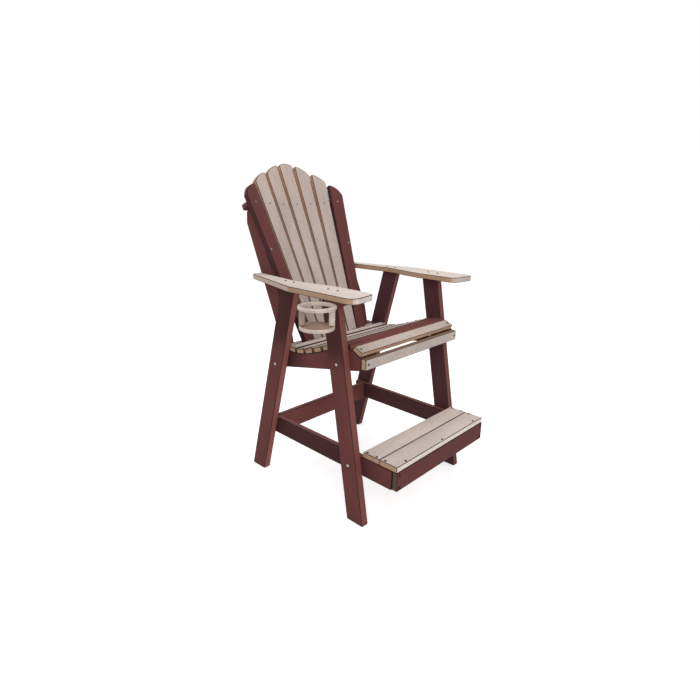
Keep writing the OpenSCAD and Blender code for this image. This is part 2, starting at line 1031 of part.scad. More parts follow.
module cup_post(turn) {
    color(BEIGE)
        place()
            translate([-cup_x, cup_y, cup_floor_z])
                rotate([0, 0, turn])
                    translate([cup_post_r - cup_post_w / 2, -cup_post_t / 2, 0])
                        cube([cup_post_w, cup_post_t, cup_depth - cup_t]);
}

module cup_post_front() {
    cup_post(-cup_turn);
}

module cup_post_rear() {
    cup_post(180 - cup_turn);
}

module cup_block() {
    color(BROWN)
        place()
            difference() {
                translate([-block_out, block_mid - block_w / 2, block_z])
                    cube([block_out - block_in, block_w, block_h]);
                translate([-cup_x, cup_y, block_z - 1])
                    cylinder(d = cup_od, h = block_h + 2, $fn = 72);
                cup_screw_spots()
                    screw_hole(cup_screw_len);
            }
}

module cup_screws() {
    color(STEEL)
        place()
            cup_screw_spots()
                screw(cup_screw_len);
}

module frame_bolts() {
    color(STEEL)
        place()
            for (s = [0, 1])
                mirror([s, 0, 0])
                    for (k = [0 : 2])
                        translate([frame_w / 2, bolt_spots[k][0], bolt_spots[k][1]])
                            rotate([0, 90, 0])
                                bolt(bolt_grip(k));
}

module frame_nuts() {
    color(STEEL)
        place()
            for (s = [0, 1])
                mirror([s, 0, 0])
                    for (k = [0 : 2])
                        translate([frame_w / 2, bolt_spots[k][0], bolt_spots[k][1]])
                            rotate([0, 90, 0])
                                nut(bolt_grip(k));
}

leg_front_right();
leg_front_left();
leg_rear_right();
leg_rear_left();
arm_right();
arm_left();
seat_side_right();
seat_side_left();
seat_slat_1();
seat_slat_2();
seat_slat_3();
seat_slat_4();
seat_slat_5();
seat_slat_6();
seat_slat_front();
seat_slat_nose();
seat_apron();
back_slat_1();
back_slat_2();
back_slat_3();
back_slat_4();
back_slat_5();
back_slat_6();
back_slat_7();
back_post_right();
back_post_left();
back_brace_upper();
back_brace_lower();
rail_right();
rail_left();
rail_rear();
step_board_front();
step_board_rear();
step_face();
cup_ring();
cup_floor();
cup_post_front();
cup_post_rear();
cup_block();
arm_screws();
seat_screws();
back_screws();
step_screws();
cup_screws();
frame_bolts();
frame_nuts();
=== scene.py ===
# %% [markdown]
# A balcony chair in two colours of plastic lumber, seen from the sitter's right. The real chair is
# a kit of straight boards, sawn to length, eased along their edges and screwed together. The
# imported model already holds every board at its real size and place. What is left to make is the
# finish: rounded edges, the mottled skin of the boards, sawn faces, and real heads on the screws
# and bolts.

# %% Load the frame
import math

import bmesh
import bpy
import numpy as np
from mathutils import Matrix, Vector


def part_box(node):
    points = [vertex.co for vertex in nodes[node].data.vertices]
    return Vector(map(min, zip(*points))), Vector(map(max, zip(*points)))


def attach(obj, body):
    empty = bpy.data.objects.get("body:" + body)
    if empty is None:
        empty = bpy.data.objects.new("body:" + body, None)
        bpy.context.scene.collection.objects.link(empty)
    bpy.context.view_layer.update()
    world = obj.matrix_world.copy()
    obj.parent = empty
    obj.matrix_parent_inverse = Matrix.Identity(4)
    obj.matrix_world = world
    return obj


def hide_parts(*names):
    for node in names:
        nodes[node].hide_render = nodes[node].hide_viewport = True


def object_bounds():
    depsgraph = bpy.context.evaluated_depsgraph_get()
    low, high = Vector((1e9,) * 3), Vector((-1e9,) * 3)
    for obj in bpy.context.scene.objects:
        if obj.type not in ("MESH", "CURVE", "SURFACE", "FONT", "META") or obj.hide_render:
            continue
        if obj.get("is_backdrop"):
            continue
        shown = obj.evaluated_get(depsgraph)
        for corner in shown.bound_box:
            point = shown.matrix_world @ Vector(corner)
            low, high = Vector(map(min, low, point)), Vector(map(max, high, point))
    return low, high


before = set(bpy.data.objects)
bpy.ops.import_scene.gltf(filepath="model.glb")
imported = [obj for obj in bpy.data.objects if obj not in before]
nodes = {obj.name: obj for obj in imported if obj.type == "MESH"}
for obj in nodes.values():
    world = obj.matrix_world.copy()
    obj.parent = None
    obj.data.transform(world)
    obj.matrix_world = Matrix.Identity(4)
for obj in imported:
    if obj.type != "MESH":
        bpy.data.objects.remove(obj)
cad_low, cad_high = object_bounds()
scene = bpy.context.scene
middle_x = (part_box("seat_apron")[0].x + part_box("seat_apron")[1].x) / 2
print(len(nodes), "boards and sets of fasteners, overall height", round(cad_high.z, 3), "m")


# %% [markdown]
# Operators work on whatever is selected, and the frame arrives selected. So each step first
# deselects everything and then selects the one piece it works on.

# %% Select one piece, or some of its faces
def only(piece):
    """Deselects everything, then makes one piece the selected and active one."""
    bpy.ops.object.select_all(action="DESELECT")
    piece.select_set(True)
    bpy.context.view_layer.objects.active = piece


def pick_faces(mesh, test):
    """Selects the faces of the mesh in edit mode that pass the test."""
    bpy.ops.mesh.select_mode(type="FACE")
    bpy.ops.mesh.select_all(action="DESELECT")
    for face in bmesh.from_edit_mesh(mesh).faces:
        face.select = test(face)
    bmesh.update_edit_mesh(mesh)


# %% [markdown]
# A noise pattern on plastic lumber has to follow the plank, and the planks of this chair run in a
# dozen directions. One way would be a material for each direction. It is simpler to store on every
# point of a board how far along, across and into the board it lies, and to let one material read
# that.

# %% Store the grain of a board
def lay_grain(piece, run, start):
    """Keeps each point's place along, across and into the board, in metres, as its grain."""
    mesh = piece.data
    points = np.empty(len(mesh.vertices) * 3)
    mesh.vertices.foreach_get("co", points)
    turned = points.reshape(-1, 3) @ np.array(run.to_track_quat("X", "Z").to_matrix())
    grain = mesh.attributes.new("grain", "FLOAT_VECTOR", "POINT")
    grain.data.foreach_set("vector", (turned + start).ravel())


# %% [markdown]
# The skin of plastic lumber is coloured right through. It shows faint streaks along the plank,
# where the melt flowed, and a fine mottle all over, like very fine sandpaper. Every lumber finish
# needs both, so they are built once as a node group with named inputs and outputs, and each finish
# sets its own amounts. Mottle and drift swing evenly about 1, so a finish keeps the colour that
# was written for it. The last input is a mask of painted shade: where it is 1, the colour is
# painted darker.

# %% Helpers for nodes
def add_node(tree, kind, at, **settings):
    node = tree.nodes.new(kind)
    node.location = at
    for name, value in settings.items():
        setattr(node, name, value)
    return node


def linear(*levels):
    """Turns a colour as the eye names it, from 0 to 255, into the linear one of a shader."""
    shares = [level / 255 for level in levels]
    turned = [((s + 0.055) / 1.055) ** 2.4 if s > 0.04 else s / 12.92 for s in shares]
    return (*turned, 1.0)


def sockets(tree, inputs, outputs):
    """Gives a node group its named inputs, with their starting values, and its named outputs."""
    panel = tree.interface
    for name, kind, value in inputs:
        socket = panel.new_socket(name=name, in_out="INPUT", socket_type="NodeSocket" + kind)
        if value is not None:
            socket.default_value = value
    for name, kind in outputs:
        panel.new_socket(name=name, in_out="OUTPUT", socket_type="NodeSocket" + kind)
    return add_node(tree, "NodeGroupInput", (-1100, 0)), add_node(tree, "NodeGroupOutput", (900, 0))


def noise_mask(tree, vector, stretch, detail, low, high, at):
    """Stretched noise, spread so that low becomes 0 and high becomes 1."""
    grow = add_node(tree, "ShaderNodeVectorMath", (-850, at), operation="MULTIPLY")
    grow.inputs[1].default_value = stretch
    tree.links.new(vector, grow.inputs[0])
    noise = add_node(tree, "ShaderNodeTexNoise", (-650, at))
    noise.inputs["Scale"].default_value = 1.0
    noise.inputs["Detail"].default_value = detail
    noise.inputs["Roughness"].default_value = 0.6
    tree.links.new(grow.outputs[0], noise.inputs["Vector"])
    spread = add_node(tree, "ShaderNodeMapRange", (-450, at))
    spread.inputs["From Min"].default_value = low
    spread.inputs["From Max"].default_value = high
    tree.links.new(noise.outputs["Fac"], spread.inputs["Value"])
    return spread.outputs["Result"]


def sum_of(tree, first, factor, second, at):
    """first times factor plus second. Factor and second are sockets or plain numbers."""
    node = add_node(tree, "ShaderNodeMath", at, operation="MULTIPLY_ADD")
    for socket, value in zip(node.inputs, (first, factor, second)):
        if isinstance(value, (int, float)):
            socket.default_value = value
        else:
            tree.links.new(value, socket)
    return node.outputs[0]


# %% The skin of plastic lumber
lumber_skin = bpy.data.node_groups.new("lumber_skin", "ShaderNodeTree")
given, made = sockets(
    lumber_skin,
    (("Grain", "Vector", None),
     ("Body", "Color", (0.5, 0.5, 0.5, 1)),
     ("Streak", "Color", (0.4, 0.4, 0.4, 1)),
     ("Streak Share", "Float", 0.3),
     ("Mottle", "Float", 0.2),
     ("Drift", "Float", 0.1),
     ("Matt", "Float", 0.5),
     ("Painted Shade", "Float", 0.0)),
    (("Colour", "Color"), ("Roughness", "Float"), ("Height", "Float")))
grain = given.outputs["Grain"]
streak = noise_mask(lumber_skin, grain, (9, 230, 230), 3, 0.36, 0.66, 300)
mottle = noise_mask(lumber_skin, grain, (150, 210, 210), 4, 0.34, 0.66, 0)
drift = noise_mask(lumber_skin, grain, (3.5, 12, 12), 1, 0.3, 0.7, -300)

share = add_node(lumber_skin, "ShaderNodeMath", (-200, 350), operation="MULTIPLY")
lumber_skin.links.new(streak, share.inputs[0])
lumber_skin.links.new(given.outputs["Streak Share"], share.inputs[1])
blend = add_node(lumber_skin, "ShaderNodeMix", (0, 300), data_type="RGBA")
lumber_skin.links.new(share.outputs[0], blend.inputs["Factor"])
lumber_skin.links.new(given.outputs["Body"], blend.inputs[6])
lumber_skin.links.new(given.outputs["Streak"], blend.inputs[7])

mottle_even = sum_of(lumber_skin, mottle, 2.0, -1.0, (-250, 0))
drift_even = sum_of(lumber_skin, drift, 2.0, -1.0, (-250, -200))
speckle = sum_of(lumber_skin, mottle_even, given.outputs["Mottle"], 1.0, (-50, 0))
tone = sum_of(lumber_skin, drift_even, given.outputs["Drift"], speckle, (150, 0))
# Painted shade: where the shade mask is 1, the colour is darkened by this share.
painted_shade_depth = 0.55
shade_factor = sum_of(lumber_skin, given.outputs["Painted Shade"], -painted_shade_depth, 1.0, (150, -200))
depth = add_node(lumber_skin, "ShaderNodeMath", (320, 0), operation="MULTIPLY")
lumber_skin.links.new(tone, depth.inputs[0])
lumber_skin.links.new(shade_factor, depth.inputs[1])
shade = add_node(lumber_skin, "ShaderNodeVectorMath", (500, 200), operation="SCALE")
lumber_skin.links.new(blend.outputs[2], shade.inputs[0])
lumber_skin.links.new(depth.outputs[0], shade.inputs["Scale"])
lumber_skin.links.new(shade.outputs[0], made.inputs["Colour"])
matt = sum_of(lumber_skin, mottle, 0.16, given.outputs["Matt"], (420, -50))
height = sum_of(lumber_skin, streak, 0.5, mottle, (420, -250))
lumber_skin.links.new(matt, made.inputs["Roughness"])
lumber_skin.links.new(height, made.inputs["Height"])
print("node group", lumber_skin.name, "with", len(lumber_skin.nodes), "nodes")


# %% [markdown]
# A finish places the skin in a material and feeds it to the shader: colour, roughness, and a
# shallow bump. The chair needs more than its two colours. Paler copies of the colours carry
# painted light and deeper ones painted shade, sawn faces show the tan inside of the beige plank,
# and the eased edges are dark. How pale or deep each face is was set by comparing renders with
# the photo.

# %% Helpers for finishes
def new_finish(name):
    """A new material with nodes. Gives the material, its node tree and its shader."""
    finish = bpy.data.materials.new(name)
    finish.use_nodes = True
    return finish, finish.node_tree, finish.node_tree.nodes["Principled BSDF"]


# The mask of a painted shade, such as under an arm or behind a leg, grows along one direction.
def painted_shade_mask(tree, aim, low, high):
    """How far a point, measured in metres along aim, has gone from low, 0, to high, 1."""
    place = add_node(tree, "ShaderNodeTexCoord", (-1500, -400))
    along = add_node(tree, "ShaderNodeVectorMath", (-1300, -400), operation="DOT_PRODUCT")
    along.inputs[1].default_value = aim
    step = add_node(tree, "ShaderNodeMapRange", (-1100, -400), interpolation_type="SMOOTHSTEP")
    step.inputs["From Min"].default_value = low
    step.inputs["From Max"].default_value = high
    tree.links.new(place.outputs["Object"], along.inputs[0])
    tree.links.new(along.outputs["Value"], step.inputs["Value"])
    return step.outputs["Result"]


# %% A finish of plastic lumber
relief, relief_strength = 0.0004, 0.6
plain_skin = (0.35, 0.16, 0.08)


def lumber(name, body, streak, amounts=plain_skin, matt=0.5, gloss=0.12, painted_shade=None):
    """A finish in two colours. The amounts are the share of streaks, the mottle and the drift."""
    finish, tree, shader = new_finish(name)
    shader.inputs["Specular IOR Level"].default_value = gloss
    place = add_node(tree, "ShaderNodeAttribute", (-900, 0), attribute_name="grain")
    skin = add_node(tree, "ShaderNodeGroup", (-650, 0), node_tree=lumber_skin)
    bump = add_node(tree, "ShaderNodeBump", (-350, -250))
    bump.inputs["Distance"].default_value = relief
    bump.inputs["Strength"].default_value = relief_strength
    values = (linear(*body), linear(*streak), *amounts, matt)
    for socket, value in zip(("Body", "Streak", "Streak Share", "Mottle", "Drift", "Matt"), values):
        skin.inputs[socket].default_value = value
    tree.links.new(place.outputs["Vector"], skin.inputs["Grain"])
    # A finish with a shade mask is painted darker where the mask is 1: painted shade.
    if painted_shade:
        tree.links.new(painted_shade_mask(tree, *painted_shade), skin.inputs["Painted Shade"])
    tree.links.new(skin.outputs["Colour"], shader.inputs["Base Color"])
    tree.links.new(skin.outputs["Roughness"], shader.inputs["Roughness"])
    tree.links.new(skin.outputs["Height"], bump.inputs["Height"])
    tree.links.new(bump.outputs["Normal"], shader.inputs["Normal"])
    return finish


# %% [markdown]
# The beige boards are one plastic, and in the photo they look more or less pale. The paler copies
# carry painted light and the darker ones painted shade. One material with masks could show that,
# but a finish for each kind of face is easier to read and to change. For the painted shade in the
# gaps and seams, and for the dark eased edges, the amounts are larger, so the skin gets blotchy.

# %% Make the beige finishes
sawn_skin = (0.5, 0.14, 0.08)
worn_and_lit_skin = (0.4, 0.14, 0.08)
blotchy_skin = (0.6, 0.2, 0.1)
dark_edge_skin = (0.7, 0.2, 0.1)

beige = lumber("beige_lumber", (193, 177, 168), (180, 163, 153))
# Painted light: a paler beige for the arms, the left arm's front end and the apron.
beige_lit = lumber("beige_painted_light", (204, 191, 182), (193, 177, 167))
beige_sawn = lumber("beige_sawn_face", (182, 148, 123), (163, 131, 108), sawn_skin, 0.6)
# Painted light: the palest beige, for the front end of the right arm.
beige_end_lit = lumber("beige_end_painted_light", (224, 212, 204), (213, 199, 190))
# Painted light: paler beiges for the footrest, palest at the rear, and a painted highlight on the
# front edges.
beige_step_lit = lumber("beige_footrest_painted_light", (216, 202, 193), (205, 189, 179))
beige_step_rear_lit = lumber("beige_footrest_rear_painted_light", (231, 215, 205), (220, 202, 191))
beige_step_edge_highlight = lumber("beige_footrest_edge_painted_highlight", (242, 230, 223), (231, 217, 209))
# Painted light: a paler tan for the narrow faces of the sloping front strip.
beige_sawn_lit = lumber("beige_sawn_lip_painted_light", (221, 184, 156), (203, 167, 141), sawn_skin, 0.6)
# Painted shade: a darker tan for the long sides of the seat slats and the top of the apron.
beige_gap_shaded = lumber("beige_gap_painted_shade", (142, 108, 88), (120, 92, 75), blotchy_skin, 0.62)
beige_taper = lumber("beige_sanded_taper", (199, 180, 164), (185, 165, 149), worn_and_lit_skin)
# The eased edges of the boards are painted dark.
beige_edge = lumber("beige_eased_edge", (82, 73, 66), (60, 53, 48), dark_edge_skin, 0.62)
# Painted shade: nearly black edges and rims on the seat and back slats, for the seams.
seam_shade = lumber("painted_shade_in_seams", (46, 40, 35), (34, 29, 26), dark_edge_skin, 0.66)
print("beige finishes:", len(bpy.data.materials))


# %% [markdown]
# The brown planks are reddish, and they get deeper within one face as well: the top of a leg is
# dark under its arm, which is painted shade. That could be painted by hand. Here a direction, and
# where along it the painted shade starts and is complete, say it in three values.

# %% Make the brown finishes
lengthwise, upward = (0, 1, 0), (0, 0, 1)
# Masks of painted shade: on the legs under the arms, on the right rail behind its front leg, and on
# the seat sides towards the rear legs.
painted_shade_under_arm = (upward, 0.62, 0.74)
painted_shade_behind_front_leg = (lengthwise, -0.52, -0.25)
painted_shade_towards_rear_leg = (lengthwise, -0.04, 0.1)
brown_skin = (0.35, 0.14, 0.08)
shade_skin = (0.4, 0.16, 0.08)

brown = lumber("brown_lumber", (106, 60, 57), (95, 51, 49), brown_skin)
brown_side = lumber("brown_sawn_side", (133, 80, 74), (120, 70, 65), worn_and_lit_skin, 0.56)
# Painted light: a paler sawn brown for the edges of the right rear leg.
brown_sawn_lit = lumber("brown_sawn_painted_light", (157, 97, 90), (143, 86, 80), worn_and_lit_skin, 0.56)
brown_accent = lumber("brown_accent_slat", (108, 65, 62), (98, 56, 54), brown_skin, 0.66, 0.02)
# Painted light: a paler brown for the front of the accent slat.
brown_accent_front_painted_light = lumber("brown_accent_front_painted_light", (146, 90, 84), (132, 78, 73), worn_and_lit_skin, 0.6)
# Painted shade: deeper browns for inner faces and for narrow faces that sit in shade.
brown_shaded = lumber("brown_painted_shade_face", (75, 44, 46), (64, 36, 39), shade_skin, 0.58)
brown_inner_shaded = lumber("brown_inner_painted_shade", (83, 50, 53), (72, 42, 45), shade_skin, 0.58)
brown_edge = lumber("brown_eased_edge", (62, 42, 39), (46, 32, 31), dark_edge_skin, 0.6)
# These three brown finishes are painted darker through their masks: painted shade.
brown_leg_shaded = lumber("brown_leg_painted_shade", (106, 60, 57), (95, 51, 49), brown_skin, painted_shade=painted_shade_under_arm)
brown_rail_shaded = lumber("brown_rail_painted_shade", (104, 59, 58), (93, 50, 50), brown_skin,
                    painted_shade=painted_shade_behind_front_leg)
brown_seat_shaded = lumber("brown_seat_side_painted_shade", (105, 60, 58), (94, 51, 50), brown_skin,
                    painted_shade=painted_shade_towards_rear_leg)
brown_end = lumber("brown_sawn_end", (96, 78, 64), (80, 64, 50), blotchy_skin, 0.66)


# %% [markdown]
# The cup holder is moulded beige plastic with a soft gloss. It could take the finish of the
# boards, but its skin is smoother and its tone drifts more, so it gets finishes of its own. The
# top of the ring and the rear post are darker, and the top of the floor is the darkest, with
# painted shade.

# %% Make the finishes of the cup holder
cup_skin = (0.4, 0.1, 0.2)
cup_darker_skin = (0.3, 0.12, 0.08)
cup_floor_shade_skin = (0.5, 0.14, 0.14)
cup_beige = lumber("cup_holder_beige", (200, 184, 174), (178, 158, 145), cup_skin, 0.24, 0.5)
cup_darker = lumber("cup_holder_darker", (158, 140, 126), (146, 127, 113), cup_darker_skin, 0.34, 0.4)
# Painted shade: the darkest beige, for the top of the cup holder's floor.
cup_floor_shaded = lumber("cup_holder_floor_painted_shade", (141, 113, 100), (125, 97, 85), cup_floor_shade_skin,
                     0.34, 0.4)
print("lumber finishes:", len(bpy.data.materials))


# %% [markdown]
# Each face of a board gets its finish from the way it looks: sawn ends look along the board, sawn
# sides look across its thickness, and faces with painted shade look at the middle of the chair.
# The board's own axes come from the area of its faces: most of the area looks along the
# thickness, and the least along the run.

# %% Find the axes of a board
def board_axes(name):
    """The run and the thickness direction of a board."""
    faces = nodes[name].data.polygons
    normals = np.array([face.normal[:] for face in faces])
    spread = (normals * np.array([face.area for face in faces])[:, None]).T @ normals
    axes = np.linalg.eigh(spread)[1].T
    return Vector(axes[0]), Vector(axes[2])


def ends(name):
    """Picks the two faces across the run of a board."""
    run = board_axes(name)[0]
    return lambda normal, middle: abs(normal.dot(run)) > 0.85


def narrow_faces(name):
    """Picks every face that isn't one of the two broad ones."""
    thin = board_axes(name)[1]
    return lambda normal, middle: abs(normal.dot(thin)) < 0.5


def inner_faces(normal, middle):
    """Picks the faces that look at the chair's middle plane."""
    return normal.x * (middle.x - middle_x) < -abs(middle.x - middle_x) * 0.9


def side_faces(normal, middle):
    """Picks the faces that look to the right or left."""
    return abs(normal.x) > 0.9


def faces_up(normal, middle):
    """Picks the faces that look up."""
    return normal.z > 0.8


def faces_ahead(normal, middle):
    """Picks the faces that look the way the sitter does."""
    return normal.y < -0.9


print("run of the near front leg:", [round(c, 2) for c in board_axes("leg_front_right")[0]])


# %% [markdown]
# A board is finished as in a workshop: take the sawn board, round every sharp edge with a small
# router bit and leave the faces flat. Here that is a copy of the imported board, merged and joined
# to flat faces, with a bevel on its sharp edges. The rims of screw holes are shorter than the rest
# and stay as they are, because the heads cover them.

# %% Ease the edges of a board
made_boards = []
same_point = 0.00001
sharp = math.radians(28)
hole_edge = 0.0014
grain_shift = 0.731


def finish_board(name, run, broad, eased, picked=(), ease=0.0024, rim=0.0):
    """Stands a rounded copy in for a packed board. Each picked pair is a face test and a finish.
    A rim is a narrow border of the broad faces, as dark as the eased edge beside it."""
    piece = bpy.data.objects.new(name + "_finished", nodes[name].data.copy())
    scene.collection.objects.link(piece)
    piece.data.materials.clear()
    for finish in (broad, eased, *(finish for test, finish in picked)):
        piece.data.materials.append(finish)
    only(piece)
    bpy.ops.object.mode_set(mode="EDIT")
    bpy.ops.mesh.select_mode(type="EDGE")
    bpy.ops.mesh.select_all(action="SELECT")
    bpy.ops.mesh.remove_doubles(threshold=same_point)
    bpy.ops.mesh.dissolve_limited(angle_limit=math.radians(1))
    work = bmesh.from_edit_mesh(piece.data)
    for flat in work.faces:
        hits = [test(flat.normal, flat.calc_center_median()) for test, finish in picked]
        flat.material_index = 2 + hits.index(True) if True in hits else 0
    bpy.ops.mesh.select_all(action="DESELECT")
    for line in work.edges:
        line.select = (len(line.link_faces) == 2 and line.calc_face_angle() > sharp
                       and line.calc_length() > hole_edge)
    bmesh.update_edit_mesh(piece.data)
    bpy.ops.mesh.bevel(offset=ease, segments=3, affect="EDGES", clamp_overlap=True,
                       loop_slide=False, material=1)
    if rim:
        pick_faces(piece.data, lambda flat: flat.material_index == 0)
        bpy.ops.mesh.inset(thickness=rim, use_select_inset=True)
        piece.active_material_index = 1
        bpy.ops.object.material_slot_assign()
    bpy.ops.object.mode_set(mode="OBJECT")
    bpy.ops.object.shade_smooth_by_angle(angle=math.radians(40))
    bpy.ops.object.modifier_add(type="WEIGHTED_NORMAL")
    piece.modifiers[-1].keep_sharp = True
    bpy.ops.object.modifier_apply(modifier=piece.modifiers[-1].name)
    made_boards.append(name)
    lay_grain(piece, Vector(run), len(made_boards) * grain_shift)
    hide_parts(name)
    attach(piece, "root")
    return piece


# %% [markdown]
# The four legs are brown planks. Their sawn edges are the palest, and on the right rear leg they
# are paler still with painted light. Their inner faces are deeper with painted shade, and so is the
# top of each leg under its arm. The low rails between them sit inside the legs, and their sides are
# dark with painted shade.

# %% Legs and low rails
crosswise = (1, 0, 0)
for name, sawn in (("leg_front_right", brown_side), ("leg_front_left", brown_side),
                   ("leg_rear_right", brown_sawn_lit), ("leg_rear_left", brown_side)):
    picked = ((inner_faces, brown_inner_shaded), (narrow_faces(name), sawn))
    finish_board(name, board_axes(name)[0], brown_leg_shaded, brown_edge, picked)
for name, face in (("rail_right", brown_rail_shaded), ("rail_left", brown_inner_shaded)):
    picked = ((side_faces, face), (ends(name), brown_edge))
    finish_board(name, lengthwise, brown_side, brown_edge, picked)
# The broad faces of the rear rail take the paler sawn brown as painted light.
finish_board("rail_rear", crosswise, brown_side, brown_edge)
print("boards finished:", len(made_boards))

# %% [markdown]
# The seat lies on two brown side boards, darker towards the rear legs and on their inner faces
# with painted shade. Its slats are narrow beige strips ripped from a wider plank, so their ends
# are sawn and tan, and so are their long sides, which are darker with painted shade from the
# gaps. One brown slat near the front is the accent: its ends are dark with painted shade, and its
# front is paler with painted light. The last strip slopes down over the front, and its narrow
# faces are paler with painted light. A beige apron closes the seat below it: it is paler with
# painted light, and its top is darker with painted shade.

# %% Seat
picked = ((inner_faces, brown_shaded),)
for name in ("seat_side_right", "seat_side_left"):
    finish_board(name, lengthwise, brown_seat_shaded, brown_edge, picked)
for number in range(1, 7):
    name = f"seat_slat_{number}"
    picked = ((ends(name), beige_sawn), (narrow_faces(name), beige_gap_shaded))
    finish_board(name, crosswise, beige, seam_shade, picked, ease=0.0022, rim=0.0028)
picked = ((ends("seat_slat_nose"), beige_sawn), (narrow_faces("seat_slat_nose"), beige_sawn_lit))
finish_board("seat_slat_nose", crosswise, beige, beige_edge, picked, ease=0.0018, rim=0.001)
picked = ((ends("seat_slat_front"), brown_shaded), (faces_ahead, brown_accent_front_painted_light))
finish_board("seat_slat_front", crosswise, brown_accent, brown_accent, picked, ease=0.0018)
picked = ((ends("seat_apron"), beige_sawn), (faces_up, beige_gap_shaded))
finish_board("seat_apron", crosswise, beige_lit, beige_edge, picked)
print("boards finished:", len(made_boards))

# %% [markdown]
# The footrest is two broad beige boards on the rails, with a brown board under their front edge.
# The boards are paler than the seat with painted light, the rear one most, and their front edges
# carry a painted highlight. The ends of the brown board show the olive brown of its core, where
# the saw has cut through it.

# %% Footrest
for name, broad in (("step_board_front", beige_step_lit), ("step_board_rear", beige_step_rear_lit)):
    picked = ((ends(name), beige_sawn), (faces_ahead, beige_step_edge_highlight))
    finish_board(name, crosswise, broad, beige_edge, picked)
picked = ((ends("step_face"), brown_end),)
finish_board("step_face", crosswise, brown, brown_edge, picked)
print("boards finished:", len(made_boards))

# %% [markdown]
# The seven slats of the back fan out and their tops are sawn to a crown. Their long edges are sawn
# as well, so the beige ones show tan between them. The two outer slats are brown. They stand so
# close together that a large rounding would open a gap between them, so the router only breaks
# their edges.

# %% Back
# The edges and rims of every back slat are dark with painted shade, and the long edges of the two
# brown slats are deeper brown with painted shade.
for number in range(1, 8):
    name = f"back_slat_{number}"
    if number in (1, 7):
        broad, sawn, slot = brown, brown_shaded, "brown_board"
    else:
        broad, sawn, slot = beige, beige_sawn, "beige_board"
    picked = ((narrow_faces(name), sawn),)
    finish_board(name, board_axes(name)[0], broad, seam_shade, picked, ease=0.0014, rim=0.0014)
# The inner faces of the back posts are deeper brown with painted shade.
picked = ((inner_faces, brown_shaded),)
for name in ("back_post_right", "back_post_left"):
    finish_board(name, board_axes(name)[0], brown, brown_edge, picked)
finish_board("back_brace_upper", crosswise, brown, brown_edge)
finish_board("back_brace_lower", crosswise, beige, beige_edge)
print("boards finished:", len(made_boards))


# %% [markdown]
# The arms are cut from the widest planks. The straight outer side, the start of the front corner
# and the inner sweep are sawn and tan. The taper behind and the ends of the sweep are sanded and a
# little paler. The arms are paler than the seat with painted light. The front end of the left arm
# is as pale as the top, and that of the right arm is paler still with more painted light.

# %% Arms
def outward(normal, middle):
    """How far a face of an arm looks away from the chair's middle."""
    return normal.x * (1 if middle.x > middle_x else -1)


def sawn_arm_side(normal, middle):
    """Picks the straight outer side with the start of the front corner, and the inner sweep."""
    side = outward(normal, middle)
    return side > 0.98 or side < -0.9 or (side > 0.6 and normal.y < 0)


def sanded_arm_side(normal, middle):
    """Picks what else looks to the right or left, the taper behind above all."""
    return abs(outward(normal, middle)) > 0.6


for name, front in (("arm_right", beige_end_lit), ("arm_left", beige_lit)):
    picked = ((sawn_arm_side, beige_sawn), (sanded_arm_side, beige_taper), (faces_ahead, front))
    finish_board(name, lengthwise, beige_lit, beige_edge, picked, ease=0.0026)
print("boards finished:", len(made_boards))

# %% [markdown]
# The cup holder hangs on a brown block under the arm: a ring, two posts and a floor disk. These
# are moulded and not sawn, so their edges are much rounder than those of the boards, and their
# skin is smoother.

# %% Cup holder
slanting = (1, 1, 0.2)
for name, top in (("cup_ring", cup_darker), ("cup_floor", cup_floor_shaded)):
    finish_board(name, slanting, cup_beige, cup_beige, ((faces_up, top),), ease=0.0045)
for name, skin in (("cup_post_front", cup_beige), ("cup_post_rear", cup_darker)):
    finish_board(name, slanting, skin, skin, ease=0.004)
finish_board("cup_block", crosswise, brown, brown_edge)
ring_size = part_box("cup_ring")[1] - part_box("cup_ring")[0]
print("boards finished:", len(made_boards), "ring:", [round(c, 3) for c in ring_size])


# %% [markdown]
# Steel parts are a little dulled: fine noise varies their tone and roughness. The screws of the
# arms and the footrest are painted nearly black and those of the seat grey: each kind has its own
# steel, whose base colour carries a painted reflection. The socket of a screw is painted dark as
# shade.

# %% Steel finishes
def steel(name, colour, roughness, metal=1.0):
    """A steel finish whose tone and roughness vary a little."""
    finish, tree, shader = new_finish(name)
    shader.inputs["Metallic"].default_value = metal
    place = add_node(tree, "ShaderNodeTexCoord", (-900, 0))
    noise = add_node(tree, "ShaderNodeTexNoise", (-650, 0))
    noise.inputs["Scale"].default_value = 600.0
    tone = add_node(tree, "ShaderNodeMix", (-400, 100), data_type="RGBA")
    tone.inputs[6].default_value = linear(*colour)
    tone.inputs[7].default_value = linear(*[c * 0.7 for c in colour])
    gloss = add_node(tree, "ShaderNodeMapRange", (-400, -150))
    gloss.inputs["To Min"].default_value = roughness
    gloss.inputs["To Max"].default_value = roughness + 0.25
    tree.links.new(place.outputs["Object"], noise.inputs["Vector"])
    tree.links.new(noise.outputs["Fac"], tone.inputs["Factor"])
    tree.links.new(noise.outputs["Fac"], gloss.inputs["Value"])
    tree.links.new(tone.outputs[2], shader.inputs["Base Color"])
    tree.links.new(gloss.outputs["Result"], shader.inputs["Roughness"])
    return finish


# The grey and the nearly black steels are one steel with a painted reflection in their base colour.
screw_steel = steel("screw_steel", (168, 170, 170), 0.3)
grey_reflection_steel = steel("screw_steel_painted_grey", (116, 114, 112), 0.4)
dark_reflection_steel = steel("screw_steel_painted_dark", (40, 38, 37), 0.55)
# Painted shade: a dark finish for the socket of each screw.
socket_shade = steel("screw_socket", (36, 33, 31), 0.75, 0.4)
bolt_steel = steel("bolt_steel", (228, 222, 218), 0.22)
screw_finish = {"arm_screws": dark_reflection_steel, "seat_screws": grey_reflection_steel, "back_screws": screw_steel,
                "step_screws": dark_reflection_steel, "cup_screws": screw_steel}
print("screws:", {name: finish.name for name, finish in screw_finish.items()})


